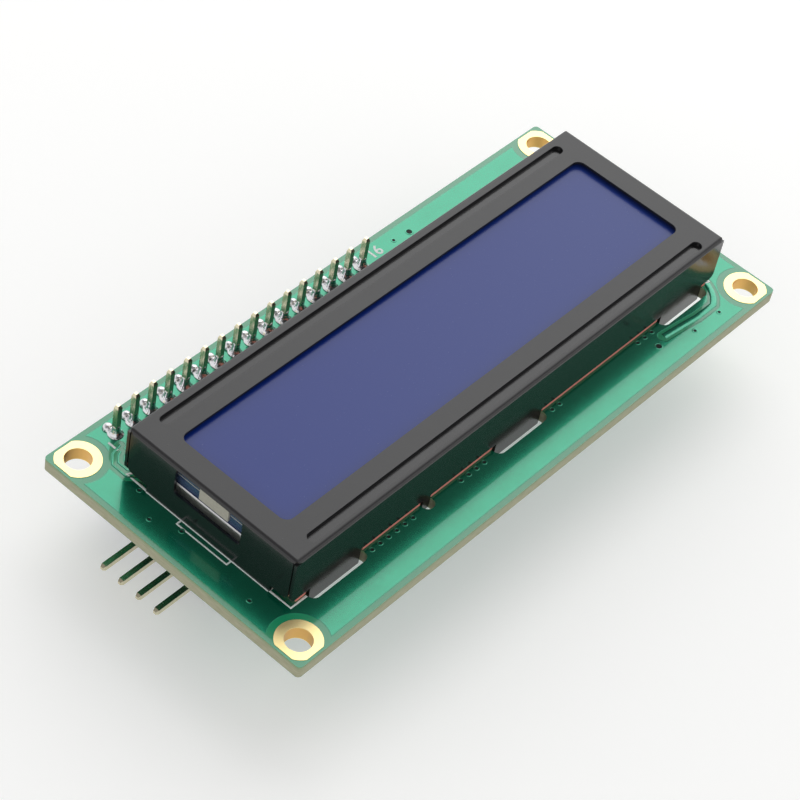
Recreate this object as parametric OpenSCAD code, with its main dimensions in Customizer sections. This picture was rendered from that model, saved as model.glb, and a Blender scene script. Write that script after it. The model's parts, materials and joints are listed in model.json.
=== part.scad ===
// Character display module with a serial adapter behind it.
// The origin is the centre of the four mounting holes, on the front face of the main board.
// +Z points out of the display, +X runs along its length and +Y points to the pin row.

/* [Main board] */
// Length of the main board
board_l = 80; // [79:0.5:90]
// Width of the main board
board_w = 36; // [35.5:0.5:44]
// Thickness of the main board
board_t = 1.6; // [1.2:0.1:2]
// Radius of the board's corners
board_corner_r = 0.5; // [0.3:0.1:1.5]
// Distance from a mounting hole's centre to the board's edges
hole_inset = 2.5; // [2.3:0.1:3]
// Diameter of the mounting holes inside their plating
hole_d = 3; // [2.4:0.1:3.2]
// Diameter of the gold pad round a mounting hole
pad_d = 5; // [4.5:0.1:5.4]
// Bare strip kept between a pad and the board's edge
pad_edge_gap = 0.3; // [0.2:0.05:0.5]
// Thickness of the plating
plating_t = 0.05; // [0.04:0.01:0.1]

/* [Bezel] */
// Length of the bezel
bezel_l = 70.6; // [69:0.2:71]
// Width of the bezel
bezel_w = 23.4; // [22.6:0.2:24]
// Height of the bezel's face above the board
bezel_h = 6.9; // [6.5:0.1:8.5]
// How far the bezel's middle lies from the board's middle, away from the pin row
bezel_shift = 0.5; // [0:0.1:0.6]
// Thickness of the bezel's sheet
sheet_t = 0.35; // [0.3:0.05:0.5]
// Inner radius of the bends round the face
bend_inner_r = 0.1; // [0.05:0.01:0.3]
// Radius of the face's corners
face_corner_r = 0.8; // [0.5:0.1:1.2]
// Gap between a long wall and the end wall beside it
seam_gap = 0.15; // [0.1:0.05:0.3]
// Length of the window
window_l = 64.6; // [62:0.2:65]
// Width of the window
window_w = 14.8; // [13.6:0.2:15]
// Radius of the window's corners
window_corner_r = 1; // [0.5:0.1:1.5]
// Length of the two pressed beads
bead_l = 64.6; // [60:0.2:65]
// Width of a bead at the face
bead_w = 1.3; // [1.1:0.05:1.4]
// Depth of a bead
bead_depth = 0.5; // [0.4:0.05:0.65]
// How much narrower each side of a bead is at its bottom
bead_draft = 0.12; // [0.05:0.01:0.2]
// Distance from the bezel's front edge to the middle of the front bead
front_bead_inset = 1.35; // [1.3:0.05:1.6]
// Distance from the bezel's back edge to the middle of the back bead
back_bead_inset = 1.7; // [1.6:0.05:1.9]
// Length of the cut-out in each end wall
end_cut_l = 9.2; // [6:0.2:12]
// Height of the end cut-out's lower edge above the board
end_cut_z = 2.95; // [2.4:0.05:3.2]
// How far the end cut-outs lie from the bezel's middle line, towards the pin row
end_cut_shift = 0.25; // [0:0.05:0.5]
// Radius of the end cut-outs' corners
end_cut_r = 0.4; // [0.2:0.05:0.6]
// Gap under the long walls
wall_lift = 0.7; // [0.4:0.05:1]
// Gap under the raised stretches of the end walls
end_lift = 0.9; // [0.6:0.05:1.2]
// Length of the raised stretch at the front of an end wall
end_lift_front = 2.8; // [2:0.1:4]
// Length of the raised stretch at the back of an end wall
end_lift_back = 3.3; // [2:0.1:4]
// Radius of the lower corners of the walls
wall_corner_r = 0.7; // [0.4:0.05:1]

/* [Bezel feet] */
// Distance between the feet along a long wall
foot_pitch = 29; // [28:0.2:29.4]
// Length of a foot
foot_l = 7.6; // [6:0.2:8]
// How far the row of feet is set off the bezel's middle
foot_shift = 0.4; // [0:0.1:0.6]
// Play between a foot and each end of its slot
slot_play = 0.45; // [0.3:0.05:0.6]
// Width of the slots in the board
slot_w = 1.8; // [1.6:0.1:2]
// How far a slot reaches past the outside of the wall
slot_reach = 1; // [0.8:0.05:1.1]
// Length of the folded end of a foot
tab_l = 2.2; // [1.8:0.1:3]
// Width of the locating peg on the front wall
peg_w = 1.2; // [1:0.1:1.4]
// Place of the peg along the front wall, from its middle
peg_x = -14.6; // [-16:0.2:-12]
// Depth of the peg below the board's front face
peg_depth = 1.2; // [0.8:0.1:1.2]
// Play between the peg's corners and its hole
peg_play = 0.06; // [0.05:0.01:0.1]
// How far the middle of the peg's hole lies outside the wall
peg_hole_out = 0.15; // [0:0.05:0.2]

/* [Display glass] */
// Thickness of each glass plate
glass_t = 1.1; // [0.9:0.05:1.15]
// Gap between the two plates, held by the seal
cell_gap = 0.1; // [0.05:0.01:0.15]
// Width of the seal between the plates
seal_w = 1.2; // [0.8:0.1:1.5]
// Thickness of a polarizer
polarizer_t = 0.2; // [0.15:0.01:0.25]
// Gap between the glass and the end walls
glass_end_gap = 0.5; // [0.3:0.05:0.6]
// Gap between the glass and the long walls
glass_side_gap = 0.1; // [0.05:0.01:0.15]
// Width of the contact ledge along each long edge of the front plate
contact_ledge = 2; // [1.8:0.05:2.1]
// Width of a rubber contact strip
strip_w = 1.8; // [1.5:0.05:1.8]
// How much shorter each end of a contact strip is than the glass
strip_inset = 0.2; // [0.1:0.05:0.5]
// How far a contact strip's squeezed edge under a long wall stops short of the wall's outside
strip_edge_inset = 0.15; // [0.05:0.05:0.25]

/* [Backlight] */
// Thickness of the reflector under the light guide
reflector_t = 0.1; // [0.08:0.01:0.15]
// Thickness of the diffuser over the light guide
diffuser_t = 0.3; // [0.1:0.05:0.35]
// Width of the frame's long sides
frame_side_w = 0.9; // [0.7:0.05:1.1]
// Width of the frame's ends
frame_end_w = 1.1; // [0.9:0.05:1.3]
// How far the frame's ends stand back from the glass's ends
frame_end_inset = 0.6; // [0.3:0.1:0.8]
// Play between the frame and what lies in it
frame_play = 0.1; // [0.05:0.01:0.15]
// Depth of the lamp pocket at the end of the light guide
lamp_pocket_l = 2.2; // [2:0.1:3]
// Thickness of the lamp strip
lamp_strip_t = 0.6; // [0.5:0.05:0.8]
// Length of one lamp across the module
lamp_w = 3.2; // [2.6:0.1:3.4]
// Distance between lamps
lamp_pitch = 4.6; // [4.2:0.1:5]
// Diameter of a lamp lead
lamp_lead_d = 0.5; // [0.4:0.05:0.6]

/* [Pin row] */
// Number of pins in the row
pin_count = 16; // [14:1:16]
// Distance between pins
pin_pitch = 2.54; // [2.5:0.01:2.56]
// Width of a square pin
pin_w = 0.64; // [0.6:0.01:0.66]
// Distance from the board's end to the first pin
pin1_inset = 7.8; // [7.4:0.1:8.4]
// Distance from the board's back edge to the pins
row_inset = 2.5; // [2.3:0.1:2.6]
// Length of a pin above the spacer
pin_long = 6; // [5.6:0.1:6.2]
// Length of a pin below the spacer
pin_tail = 3; // [2.8:0.1:3.4]
// Height of the plastic spacer
spacer_h = 2.54; // [2.4:0.02:2.6]
// Width of the plastic spacer
spacer_w = 2.5; // [2.3:0.05:2.54]
// Diameter of the plated pin holes
pin_hole_d = 1; // [0.96:0.01:1.1]
// Radius of a solder joint at the board
joint_r = 0.92; // [0.8:0.02:1]
// Height of a solder joint
joint_h = 1.4; // [1:0.05:1.5]

/* [Adapter board] */
// Length of the adapter board
adapter_l = 41.6; // [40.8:0.2:43]
// Width of the adapter board
adapter_w = 19.2; // [18.6:0.2:21]
// Thickness of the adapter board
adapter_t = 1.6; // [1.2:0.1:1.6]
// Distance from the adapter's end to the first pin
adapter_pin1_inset = 2.3; // [2:0.1:2.4]
// Distance from the adapter's back edge to the pins
adapter_row_inset = 1.3; // [1.2:0.05:1.6]
// Thickness of the plastic body of a right-angle header
angle_body_t = 2.5; // [2.4:0.02:2.54]
// Length of a right-angle pin outside its plastic body
angle_pin_l = 6; // [5.8:0.1:6.2]
// Distance from the plastic body to the bent legs
angle_leg_gap = 1.5; // [1.3:0.05:1.7]
// How far a bent leg stands out on the far side of the adapter
leg_out = 0.9; // [0.7:0.05:1]
// How far the bus header's body overhangs the adapter's end
bus_overhang = 0.9; // [0.6:0.05:1.1]
// Distance from the pin row to the middle of the bus header
bus_drop = 11.9; // [11:0.1:12]
// Number of bus pins
bus_count = 4; // [4:1:4]
// Distance from the pin row to the middle of the jumper header
jumper_drop = 6.4; // [6:0.1:8]
// How far the jumper header's body overhangs the adapter's end
jumper_overhang = 0.9; // [0.6:0.05:1.1]

/* [Expander chip] */
// Distance from the adapter's end to the middle of the chip
chip_inset = 15.5; // [14.5:0.1:17]
// Distance from the pin row to the middle of the chip
chip_drop = 9.4; // [8.5:0.1:10]
// Length of the chip's body
chip_l = 10.3; // [10.1:0.05:10.5]
// Width of the chip's body
chip_w = 7.5; // [7.4:0.05:7.6]
// Height of the chip's body
chip_h = 2.2; // [2:0.05:2.4]
// Height of the chip's body above the adapter
chip_standoff = 0.1; // [0.05:0.05:0.2]
// Width of the chip over its leads
chip_span = 10.3; // [10:0.05:10.6]
// Distance between leads
lead_pitch = 1.27; // [1.25:0.01:1.28]
// Width of a lead
lead_w = 0.42; // [0.35:0.01:0.48]
// Thickness of a lead
lead_t = 0.25; // [0.2:0.01:0.3]
// Length of a lead's foot
lead_foot = 0.8; // [0.6:0.05:0.9]
// Distance from the chip's side to the bend of a lead
lead_knee = 0.45; // [0.4:0.05:0.5]
// Slope of the chip's sides, as a set-back at top and bottom
chip_draft = 0.2; // [0.1:0.02:0.3]
// Diameter of the dot beside the first lead
dot_d = 0.9; // [0.6:0.1:1.2]
// Distance from the dot's middle to the chip's sides
dot_inset = 1.1; // [0.9:0.1:1.5]
// Depth of the dot
dot_depth = 0.12; // [0.05:0.01:0.2]

/* [Contrast trimmer] */
// Distance from the adapter's far end to the middle of the trimmer
trimmer_inset = 10.4; // [9.6:0.1:12]
// Distance from the pin row to the middle of the trimmer
trimmer_drop = 9.5; // [8:0.1:10.5]
// Diameter of a trimmer lead
trimmer_lead_d = 0.6; // [0.5:0.05:0.7]
// Distance from the trimmer's middle to each of its rows of leads
trimmer_lead_row = 2.5; // [2.3:0.05:2.6]
// Distance of the two paired leads from the trimmer's middle
trimmer_lead_side = 2; // [1.8:0.05:2.54]
// Length of the trimmer's body
trimmer_l = 6.6; // [6.4:0.1:7]
// Width of the trimmer's body
trimmer_w = 7; // [6.6:0.1:7.2]
// Height of the trimmer's body
trimmer_h = 4.8; // [4.6:0.1:5.2]
// Diameter of the rotor
rotor_d = 4.4; // [4:0.1:4.6]
// Thickness of the rotor's head
rotor_t = 1.4; // [1.2:0.1:1.6]
// How far the rotor stands proud of the body
rotor_proud = 0.15; // [0.05:0.05:0.3]
// Diameter of the rotor's stem
stem_d = 2; // [1.6:0.1:2.2]
// Length of the rotor's stem
stem_l = 1.6; // [1.2:0.1:1.8]
// Radial play between the rotor and the body
rotor_play = 0.05; // [0.03:0.01:0.08]
// Width of the screwdriver slots
driver_slot_w = 0.7; // [0.5:0.05:0.9]
// Depth of the screwdriver slots
driver_slot_depth = 0.8; // [0.6:0.05:0.9]

/* [Jumper cap] */
// Length of the jumper cap
cap_l = 6; // [5.8:0.1:6.1]
// Width of the jumper cap
cap_w = 5; // [4.9:0.02:5.06]
// Height of the jumper cap
cap_h = 2.44; // [2.4:0.02:2.5]
// Thickness of the cap's end wall
cap_end_t = 0.6; // [0.4:0.05:0.8]
// Thickness of the metal clip in the cap
clip_t = 0.2; // [0.15:0.01:0.25]
// Play between the clip and the pins
clip_play = 0.05; // [0.04:0.01:0.08]
// Distance from the cap's mouth to the clip
clip_inset = 0.6; // [0.3:0.1:1]

/* [Small parts] */
// Length of a chip resistor or capacitor
chip_part_l = 2; // [1.8:0.1:2.1]
// Width of a chip resistor or capacitor
chip_part_w = 1.25; // [1.1:0.05:1.3]
// Length of each tinned end
chip_end_l = 0.4; // [0.3:0.05:0.5]
// Height of a chip resistor
resistor_h = 0.5; // [0.4:0.05:0.6]
// Height of a chip capacitor
capacitor_h = 0.9; // [0.6:0.05:1.2]
// Distance between neighbours in a row of parts
part_pitch = 2.6; // [2.4:0.1:2.8]
// Distance from the adapter's front edge to its row of parts
part_row_inset = 1.9; // [1.6:0.1:2]
// Distance from the adapter's end to its column of parts
part_column_inset = 8.6; // [8.4:0.1:8.8]
// Distance between neighbours in that column
part_column_pitch = 3; // [2.6:0.1:3.1]
// Length of the transistor's body
transistor_l = 2.9; // [2.8:0.05:3]
// Width of the transistor's body
transistor_w = 1.3; // [1.2:0.05:1.4]
// Height of the transistor's top above the board
transistor_h = 1; // [0.9:0.05:1.1]
// Distance between the transistor's two paired leads
transistor_pitch = 1.9; // [1.8:0.05:2]
// Distance from the adapter's far end to the transistor
transistor_inset = 3.2; // [3:0.1:4]
// Radius of a potting drop on the main board
blob_r = 6.2; // [5.5:0.1:6.4]
// Height of a potting drop
blob_h = 1.3; // [1:0.1:1.5]
// Distance of the potting drops from the middle, towards the bus pins and away from them
blob_reach = [10.8, 18]; // [8:0.1:20]
// Distance of the potting drops from the bezel's middle line, away from the pin row
blob_drop = 2; // [0:0.1:3]

/* [Hidden] */
$fn = 48;
// Facets of the many small round pieces
small_fn = 20;
// Overlap of a cutting shape past the surface that it cuts
cut = 1;

// Main board
half_l = board_l / 2;
half_w = board_w / 2;
board_back = -board_t;
hole_x = half_l - hole_inset;
hole_y = half_w - hole_inset;

// Bezel
bezel_y = -bezel_shift;
front_y = bezel_y - bezel_w / 2;
back_y = bezel_y + bezel_w / 2;
end_x = bezel_l / 2;
bend_r = sheet_t + bend_inner_r;
wall_top = bezel_h - bend_r;
front_bead_y = front_y + front_bead_inset;
back_bead_y = back_y - back_bead_inset;
foot_places = [for (k = [-1 : 1]) foot_shift + k * foot_pitch];
slot_l = foot_l + 2 * slot_play;
slot_offset = slot_reach - slot_w / 2;
peg_corner = [peg_w / 2, peg_hole_out + sheet_t];
peg_hole_r = norm(peg_corner) + peg_play;

// Stack of glass and films, from the beads' undersides down to the board
front_glass_top = bezel_h - sheet_t - bead_depth;
front_glass_z = front_glass_top - glass_t;
rear_glass_top = front_glass_z - cell_gap;
rear_glass_z = rear_glass_top - glass_t;
rear_polarizer_z = rear_glass_z - polarizer_t;
diffuser_z = rear_polarizer_z - diffuser_t;
frame_h = diffuser_z;
glass_half_l = end_x - sheet_t - glass_end_gap;
front_glass_half_w = bezel_w / 2 - sheet_t - glass_side_gap;
rear_glass_half_w = front_glass_half_w - contact_ledge;
polarizer_edge = 1.2;
bead_clearance = 0.2;
strip_edge_h = wall_lift - 0.15;
bead_line = max(front_bead_inset, back_bead_inset) + (bead_w + sheet_t) / 2;
front_polarizer_half_w = bezel_w / 2 - bead_line - bead_clearance;
frame_half_l = glass_half_l - frame_end_inset;
cavity_half_l = frame_half_l - frame_end_w;
cavity_half_w = rear_glass_half_w - frame_side_w;
guide_end = cavity_half_l - lamp_pocket_l;
lamp_strip_x = cavity_half_l - frame_play - lamp_strip_t;
lamp_gap = 0.1;
lamp_places = [-lamp_pitch, 0, lamp_pitch];
lamp_lead_places = [-lamp_pitch / 2, lamp_pitch / 2];
lamp_lead_out = 0.8;
lead_hole_play = 0.2;

// Pin row
row_y = half_w - row_inset;
pin1_x = -half_l + pin1_inset;
pin_top = board_back + pin_long;
spacer_z = board_back - spacer_h;
pin_bottom = spacer_z - pin_tail;
pin_tip = 0.35;
rear_joint_h = (pin_tail - adapter_t) * 0.75;

// Adapter board
adapter_top = spacer_z;
adapter_bottom = adapter_top - adapter_t;
adapter_x = pin1_x - adapter_pin1_inset;
adapter_end = adapter_x + adapter_l;
adapter_back = row_y + adapter_row_inset;
adapter_front = adapter_back - adapter_w;
adapter_corner_r = 0.5;
angle_axis = angle_body_t / 2;
bus_y = row_y - bus_drop;
bus_body_x = adapter_x - bus_overhang;
bus_leg_x = bus_body_x + angle_body_t + angle_leg_gap;
jumper_y = row_y - jumper_drop;
jumper_body_end = adapter_end + jumper_overhang;
jumper_leg_x = jumper_body_end - angle_body_t - angle_leg_gap;
chip_x = adapter_x + chip_inset;
chip_y = row_y - chip_drop;
lead_count = 8;
trimmer_x = adapter_end - trimmer_inset;
trimmer_y = row_y - trimmer_drop;
trimmer_legs = [
    [trimmer_x, trimmer_y + trimmer_lead_row],
    [trimmer_x - trimmer_lead_side, trimmer_y - trimmer_lead_row],
    [trimmer_x + trimmer_lead_side, trimmer_y - trimmer_lead_row]
];
bus_legs = [for (i = [0 : bus_count - 1]) [bus_leg_x, bus_y + (i - (bus_count - 1) / 2) * pin_pitch]];
jumper_legs = [for (i = [-0.5, 0.5]) [jumper_leg_x, jumper_y + i * pin_pitch]];

// Small parts on the adapter: a row along its front edge and a column beside the chip
part_row_y = adapter_front + part_row_inset;
part_column_x = adapter_x + part_column_inset;
power_lamp_place = [part_column_x, part_row_y];
adapter_resistor_places = [
    for (k = [1 : 4]) [part_column_x + part_pitch * k, part_row_y],
    for (k = [1 : 2]) [part_column_x, part_row_y + part_column_pitch * k]
];
adapter_capacitor_places = [
    [part_column_x, part_row_y + part_column_pitch * 3],
    [part_column_x + part_pitch * 6, part_row_y]
];
transistor_place = [adapter_end - transistor_inset, part_row_y];

// Small parts on the back of the main board, past the end of the pin row
board_part_x = pin1_x + (pin_count + 1.5) * pin_pitch;
board_resistor_places = [for (k = [0 : 4]) [board_part_x + part_pitch * k, row_y]];
board_capacitor_places = [
    for (k = [0, 2]) [board_part_x + part_pitch * k, row_y - part_column_pitch],
    [0, part_row_inset - half_w]
];

// A box between two opposite corners
module span(low, high) translate(low) cube(high - low);

// A plate with round corners, centred on X and Y
module round_plate(l, w, t, r) linear_extrude(t) round_outline(l, w, r);

module round_outline(l, w, r) {
    square([l - 2 * r, w], center = true);
    square([l, w - 2 * r], center = true);
    for (x = [-1, 1], y = [-1, 1])
        translate([x * (l / 2 - r), y * (w / 2 - r)]) circle(r);
}

// A slot with full round ends along X
module slot(l, w, t) linear_extrude(t) {
    square([l - w, w], center = true);
    for (x = [-1, 1]) translate([x * (l - w) / 2, 0]) circle(w / 2);
}

// A frame between two rectangles
module ring_plate(half_out, half_in, t) linear_extrude(t) difference() {
    square(2 * half_out, center = true);
    square(2 * half_in, center = true);
}

// A concave solder joint round a pin that stands on Z
module solder_joint(r, top_r, h) {
    arc_x = (r * r + h * h - top_r * top_r) / (2 * (r - top_r));
    rotate_extrude($fn = small_fn) difference() {
        square([r, h]);
        translate([arc_x, h]) circle(arc_x - top_r, $fn = 64);
    }
}

// A square pin on Z with a chamfered tip at each end that asks for one
module square_pin(w, z_low, z_high, low_tip = true) {
    body_low = low_tip ? z_low + pin_tip : z_low;
    tip = w * 0.55;
    translate([-w / 2, -w / 2, body_low]) cube([w, w, z_high - pin_tip - body_low]);
    pin_cone(w, tip, z_high - pin_tip, z_high);
    if (low_tip) pin_cone(w, tip, z_low + pin_tip, z_low);
}

// The chamfer of a pin's tip: two crossed tapers
module pin_cone(w, tip, z_base, z_end) intersection() {
    rotate([90, 0, 0]) linear_extrude(w, center = true) pin_taper(w, tip, z_base, z_end);
    rotate([90, 0, 90]) linear_extrude(w, center = true) pin_taper(w, tip, z_base, z_end);
}

module pin_taper(w, tip, z_base, z_end)
    polygon([[-w / 2, z_base], [w / 2, z_base], [tip / 2, z_end], [-tip / 2, z_end]]);

// Children stand on the back of the main board or of the adapter, pointing down
module under_board() translate([0, 0, board_back]) mirror([0, 0, 1]) children();
module under_adapter() translate([0, 0, adapter_bottom]) mirror([0, 0, 1]) children();

// ---- Main board ----

module hole_places() for (x = [-1, 1], y = [-1, 1]) translate([x * hole_x, y * hole_y, 0]) children();

module pin_places() for (i = [0 : pin_count - 1]) translate([pin1_x + i * pin_pitch, row_y, 0]) children();

module slot_places() {
    for (x = foot_places) {
        translate([x, front_y - slot_offset, 0]) children();
        translate([x, back_y + slot_offset, 0]) children();
    }
}

module main_board() color("seagreen") difference() {
    translate([0, 0, board_back]) round_plate(board_l, board_w, board_t, board_corner_r);
    translate([0, 0, board_back - cut]) {
        hole_places() cylinder(d = hole_d + 2 * plating_t, h = board_t + 2 * cut);
        pin_places() cylinder(d = pin_hole_d, h = board_t + 2 * cut, $fn = small_fn);
        slot_places() slot(slot_l, slot_w, board_t + 2 * cut);
        translate([peg_x, front_y - peg_hole_out, 0]) cylinder(r = peg_hole_r, h = board_t + 2 * cut);
        for (y = lamp_lead_places) translate([lamp_strip_x + lamp_strip_t / 2, bezel_y + y, 0])
            cylinder(d = lamp_lead_d + lead_hole_play, h = board_t + 2 * cut, $fn = small_fn);
    }
}

// The pads are cut straight on the two sides that face the board's edges
module hole_plating() color("khaki") difference() {
    union() {
        hole_places() translate([0, 0, board_back]) cylinder(d = hole_d + 2 * plating_t, h = board_t);
        intersection() {
            hole_places() for (z = [0, board_back - plating_t])
                translate([0, 0, z]) cylinder(d = pad_d, h = plating_t);
            cube([board_l - 2 * pad_edge_gap, board_w - 2 * pad_edge_gap, 4 * board_t], center = true);
        }
    }
    hole_places() translate([0, 0, board_back - cut]) cylinder(d = hole_d, h = board_t + 2 * cut);
}

// ---- Bezel ----

// Outline of a box with its two upper corners bent round, standing on Y = 0
module bent_outline(w, h, r) {
    translate([-w / 2, 0]) square([w, h - r]);
    translate([-w / 2 + r, 0]) square([w - 2 * r, h]);
    for (x = [-1, 1]) translate([x * (w / 2 - r), h - r]) circle(r);
}

module bent_box(l, w, h, r) intersection() {
    rotate([90, 0, 0]) linear_extrude(w, center = true) bent_outline(l, h, r);
    rotate([90, 0, 90]) linear_extrude(l, center = true) bent_outline(w, h, r);
}

// A pressed bead: a tapered bar with conical ends, standing on its narrow side at z = 0
module bead_bar(l, w, depth, draft) {
    run = l - w;
    rotate([90, 0, 90]) linear_extrude(run, center = true)
        polygon([[-w / 2, depth], [w / 2, depth], [w / 2 - draft, 0], [draft - w / 2, 0]]);
    for (x = [-1, 1]) translate([x * run / 2, 0, 0]) cylinder(d1 = w - 2 * draft, d2 = w, h = depth);
}

module bead_places() for (y = [front_bead_y, back_bead_y]) translate([0, y, 0]) children();

// A foot and its folded end, on the front wall; wall_y is the wall's outside and inward its direction
module foot(wall_y, inward) {
    fold_z = board_back - sheet_t;
    translate([0, wall_y, 0]) scale([1, inward, 1]) rotate([90, 0, 90])
        linear_extrude(foot_l, center = true) {
            translate([0, fold_z + bend_r]) square([sheet_t, wall_lift - fold_z - bend_r + sheet_t]);
            translate([bend_r, fold_z]) square([tab_l - bend_r, sheet_t]);
            intersection() {
                translate([0, fold_z]) square(bend_r);
                translate([bend_r, fold_z + bend_r]) difference() {
                    circle(bend_r);
                    circle(bend_inner_r);
                }
            }
        }
}

// What is open under the walls
module under_walls() {
    reach = end_x + cut;
    // Under the long walls
    span([-reach, front_y - cut, -cut], [reach, front_y + sheet_t, wall_lift]);
    span([-reach, back_y - sheet_t, -cut], [reach, back_y + cut, wall_lift]);
    // Under the two ends of the end walls
    span([-reach, front_y + sheet_t, -cut], [reach, front_y + end_lift_front, end_lift]);
    span([-reach, back_y - end_lift_back, -cut], [reach, back_y - sheet_t, end_lift]);
}

// What a round corner leaves out of a square one, for a corner at [0, 0] with the wall on its -X and +Y side;
// over is how far it reaches past the corner along X
module spandrel(r, over = cut) difference() {
    translate([-r, -cut]) square([r + over, r + cut]);
    translate([-r, r]) circle(r);
}

// The face's round corners, the slit beside the end of each long wall and the walls' round lower corners
module corner_cuts() for (x = [-1, 1], y = [-1, 1])
    translate([x * end_x, bezel_y + y * bezel_w / 2, 0]) scale([x, y, 1]) {
        translate([0, 0, wall_top]) scale([1, -1, 1]) linear_extrude(bend_r + cut) spandrel(face_corner_r);
        span([-2 * sheet_t, -sheet_t - seam_gap, -cut], [cut, -sheet_t, wall_top]);
        translate([0, 0, wall_lift]) rotate([90, 0, 0])
            linear_extrude(2 * sheet_t, center = true) spandrel(wall_corner_r);
        translate([0, -sheet_t - seam_gap, end_lift]) rotate([90, 0, 90])
            linear_extrude(4 * sheet_t, center = true) spandrel(wall_corner_r, seam_gap / 2);
    }

// The cut-outs in the end walls
module end_cuts() {
    cut_h = wall_top - end_cut_z;
    translate([0, bezel_y + end_cut_shift, end_cut_z + cut_h / 2]) rotate([90, 0, 90])
        linear_extrude(bezel_l + 2 * cut, center = true) round_outline(end_cut_l, cut_h, end_cut_r);
}

module bezel() color([0.2, 0.2, 0.21]) {
    inside_l = bezel_l - 2 * sheet_t;
    inside_w = bezel_w - 2 * sheet_t;
    bead_body_h = bezel_h - front_glass_top - sheet_t / 2;
    difference() {
        union() {
            translate([0, bezel_y, 0]) difference() {
                bent_box(bezel_l, bezel_w, bezel_h, bend_r);
                translate([0, 0, -cut]) bent_box(inside_l, inside_w, bezel_h - sheet_t + cut, bend_inner_r);
            }
            bead_places() translate([0, 0, front_glass_top])
                bead_bar(bead_l + sheet_t, bead_w + sheet_t, bead_body_h, bead_draft);
        }
        bead_places() translate([0, 0, bezel_h - bead_depth])
            bead_bar(bead_l, bead_w, bead_depth + 0.001, bead_draft);
        translate([0, bezel_y, bezel_h - 2 * sheet_t])
            round_plate(window_l, window_w, 3 * sheet_t, window_corner_r);
        end_cuts();
        under_walls();
        corner_cuts();
    }
    for (x = foot_places) translate([x, 0, 0]) {
        foot(front_y, 1);
        foot(back_y, -1);
    }
    span([peg_x - peg_w / 2, front_y, -peg_depth],
        [peg_x + peg_w / 2, front_y + sheet_t, wall_lift + sheet_t]);
}

// ---- Display glass ----

module centred_plate(half_l, half_w, z, t)
    span([-half_l, bezel_y - half_w, z], [half_l, bezel_y + half_w, z + t]);

// It stops short of the beads, which press on the glass itself
module front_polarizer() color([0.27, 0.35, 0.6])
    centred_plate(glass_half_l - polarizer_edge, front_polarizer_half_w, front_glass_top, polarizer_t);

module front_glass() color([0.2, 0.3, 0.5])
    centred_plate(glass_half_l, front_glass_half_w, front_glass_z, glass_t);

module cell_seal() color([0.5, 0.5, 0.45]) translate([0, bezel_y, rear_glass_top]) {
    seal_out = [glass_half_l, rear_glass_half_w];
    ring_plate(seal_out, [seal_out[0] - seal_w, seal_out[1] - seal_w], cell_gap);
}

module fill_port_seal() color([0.15, 0.15, 0.2]) {
    port_l = 4;
    port_out = min(0.25, glass_end_gap * 0.8);
    span([-glass_half_l - port_out, bezel_y - port_l / 2, rear_glass_z + 0.3],
        [-glass_half_l, bezel_y + port_l / 2, front_glass_top - 0.3]);
}

module rear_glass() color([0.25, 0.33, 0.5])
    centred_plate(glass_half_l, rear_glass_half_w, rear_glass_z, glass_t);

module rear_polarizer() color([0.3, 0.35, 0.5])
    centred_plate(glass_half_l, rear_glass_half_w, rear_polarizer_z, polarizer_t);

// Each strip stands between the front plate and the board, and its squeezed edge shows under the wall
module contact_strips() color("lightcoral") for (side = [-1, 1])
    translate([0, bezel_y, 0]) scale([1, side, 1]) {
        strip_half_l = glass_half_l - strip_inset;
        strip_in = front_glass_half_w - strip_w;
        span([-strip_half_l, strip_in, 0], [strip_half_l, front_glass_half_w, front_glass_z]);
        difference() {
            span([-strip_half_l, strip_in, 0], [strip_half_l, bezel_w / 2 - strip_edge_inset, strip_edge_h]);
            for (x = foot_places) wall_gap(x, slot_l / 2);
            wall_gap(peg_x, peg_hole_r);
        }
    }

// Room for a foot or the peg in the squeezed edge of a contact strip
module wall_gap(x, half_l)
    span([x - half_l, front_glass_half_w, -cut], [x + half_l, bezel_w / 2 + cut, wall_lift + cut]);

// ---- Backlight ----

module backlight_frame() color("gainsboro") translate([0, bezel_y, 0])
    ring_plate([frame_half_l, rear_glass_half_w], [cavity_half_l, cavity_half_w], frame_h);

// It reaches over the frame to the ends of the glass, where its edge shows in the bezel's cut-outs
module diffuser() color("whitesmoke")
    centred_plate(glass_half_l, rear_glass_half_w, diffuser_z, diffuser_t);

module light_guide() color([0.85, 0.9, 0.95])
    span([-cavity_half_l + frame_play, bezel_y - cavity_half_w + frame_play, reflector_t],
        [guide_end, bezel_y + cavity_half_w - frame_play, diffuser_z]);

module reflector() color("white")
    span([-cavity_half_l + frame_play, bezel_y - cavity_half_w + frame_play, 0],
        [guide_end, bezel_y + cavity_half_w - frame_play, reflector_t]);

module lamp_strip() color("beige")
    span([lamp_strip_x, bezel_y - cavity_half_w + frame_play, 0],
        [lamp_strip_x + lamp_strip_t, bezel_y + cavity_half_w - frame_play, diffuser_z]);

module lamps() color("lightyellow") for (y = lamp_places)
    span([guide_end + lamp_gap, bezel_y + y - lamp_w / 2, reflector_t + 0.4],
        [lamp_strip_x, bezel_y + y + lamp_w / 2, diffuser_z - 0.4]);

module lamp_leads() color("silver") for (y = lamp_lead_places)
    translate([lamp_strip_x + lamp_strip_t / 2, bezel_y + y, board_back]) {
        translate([0, 0, -lamp_lead_out])
            cylinder(d = lamp_lead_d, h = board_t + lamp_lead_out, $fn = small_fn);
        mirror([0, 0, 1]) solder_joint(joint_r, lamp_lead_d / 2, lamp_lead_out * 0.75);
    }

// ---- Parts on the back of the main board ----

// A domed drop of potting on a chip
module potting_blob(r, h) {
    sphere_r = (r * r + h * h) / (2 * h);
    translate([0, 0, h - sphere_r]) intersection() {
        sphere(sphere_r, $fn = 96);
        translate([0, 0, sphere_r - h]) cylinder(r = r + cut, h = h + cut);
    }
}

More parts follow.
